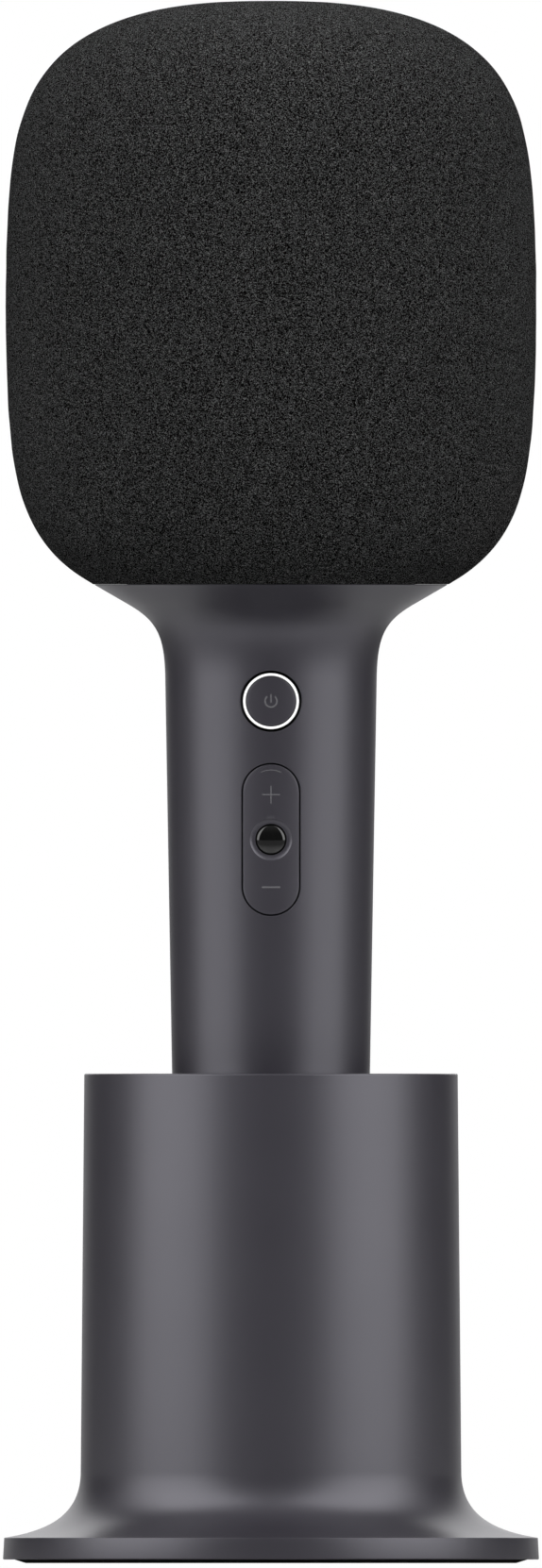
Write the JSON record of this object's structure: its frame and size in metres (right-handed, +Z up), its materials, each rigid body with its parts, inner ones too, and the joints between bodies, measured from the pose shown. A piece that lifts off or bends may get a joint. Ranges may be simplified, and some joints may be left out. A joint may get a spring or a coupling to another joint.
{
  "type": "karaoke microphone with dock",
  "caption": "Hand-held karaoke microphone with built-in speakers under a foam head, press keys on a tapered handle, standing in a weighted round dock.",
  "frame": {"origin": "centre of the dock's underside, on the table", "axes": "+Z up along the handle, the keys face -Y, +X to the right when facing the keys"},
  "size_m": [0.0932, 0.0932, 0.2716],
  "materials": {
    "satin": "satin dark grey coating",
    "foam": "open-cell black foam",
    "gloss": "polished black",
    "light": "frosted white light guide",
    "rubber": "soft matte",
    "matte": "moulded matte black",
    "steel": "zinc plated",
    "board": "black solder mask",
    "cell": "blue shrink wrap",
    "cone": "pressed paper",
    "brass": "plain"
  },
  "bodies": {
    "dock": {"base_shell": "satin", "base_socket": "matte", "seat_pad": "rubber", "ballast_ring": "steel", "base_plate": "steel", "base_screw_1": "steel", "base_screw_2": "steel", "base_screw_3": "steel", "foot_pad": "rubber"},
    "microphone": {"handle_shell": "satin", "end_cap": "satin", "end_cap_screw_1": "steel", "end_cap_screw_2": "steel", "usb_port": "steel", "charge_board": "board", "sled": "matte", "sled_screw_1": "steel", "sled_screw_2": "steel", "battery_cell": "cell", "main_board": "board", "rocker_cradle": "matte", "power_switch": "matte", "volume_up_switch": "matte", "volume_down_switch": "matte", "effect_switch": "matte", "ring_led_left": "light", "ring_led_right": "light", "head_floor": "matte", "cage": "matte", "foam_cover": "foam", "drum_bracket": "matte", "speaker_can_left": "matte", "speaker_can_right": "matte", "speaker_frame_left": "matte", "speaker_frame_right": "matte", "speaker_magnet_left": "steel", "speaker_magnet_right": "steel", "speaker_surround_left": "rubber", "speaker_surround_right": "rubber", "capsule_stand": "matte", "capsule_holder": "rubber", "mic_capsule": "brass"},
    "power_key": {"power_cap": "satin", "light_ring": "light"},
    "volume_key": {"volume_rocker": "satin"},
    "effect_key": {"effect_button": "gloss"},
    "cone_left": {"speaker_cone_left": "cone"},
    "cone_right": {"speaker_cone_right": "cone"}
  },
  "joints": [
    {"name": "lift", "type": "slide", "parent": "dock", "child": "microphone", "axis": [0, 0, 1], "range_m": [0, 0.08]},
    {"name": "power_press", "type": "slide", "parent": "microphone", "child": "power_key", "axis": [0, 1, 0], "range_m": [0, 0.0005], "stiffness_N_per_m": 800, "springref_m": -0.0005},
    {"name": "volume_tilt", "type": "hinge", "parent": "microphone", "child": "volume_key", "pos_m": [0, -0.01359, 0.1258], "axis": [1, 0, 0], "range_deg": [-2, 2], "stiffness_Nm_per_rad": 0.13},
    {"name": "effect_press", "type": "slide", "parent": "microphone", "child": "effect_key", "axis": [0, 1, 0], "range_m": [0, 0.0006], "stiffness_N_per_m": 800, "springref_m": -0.0006},
    {"name": "cone_left_stroke", "type": "slide", "parent": "microphone", "child": "cone_left", "axis": [-1, 0, 0], "range_m": [-0.0008, 0.0008], "stiffness_N_per_m": 1200},
    {"name": "cone_right_stroke", "type": "slide", "parent": "microphone", "child": "cone_right", "axis": [1, 0, 0], "range_m": [-0.0008, 0.0008], "stiffness_N_per_m": 1200}
  ]
}
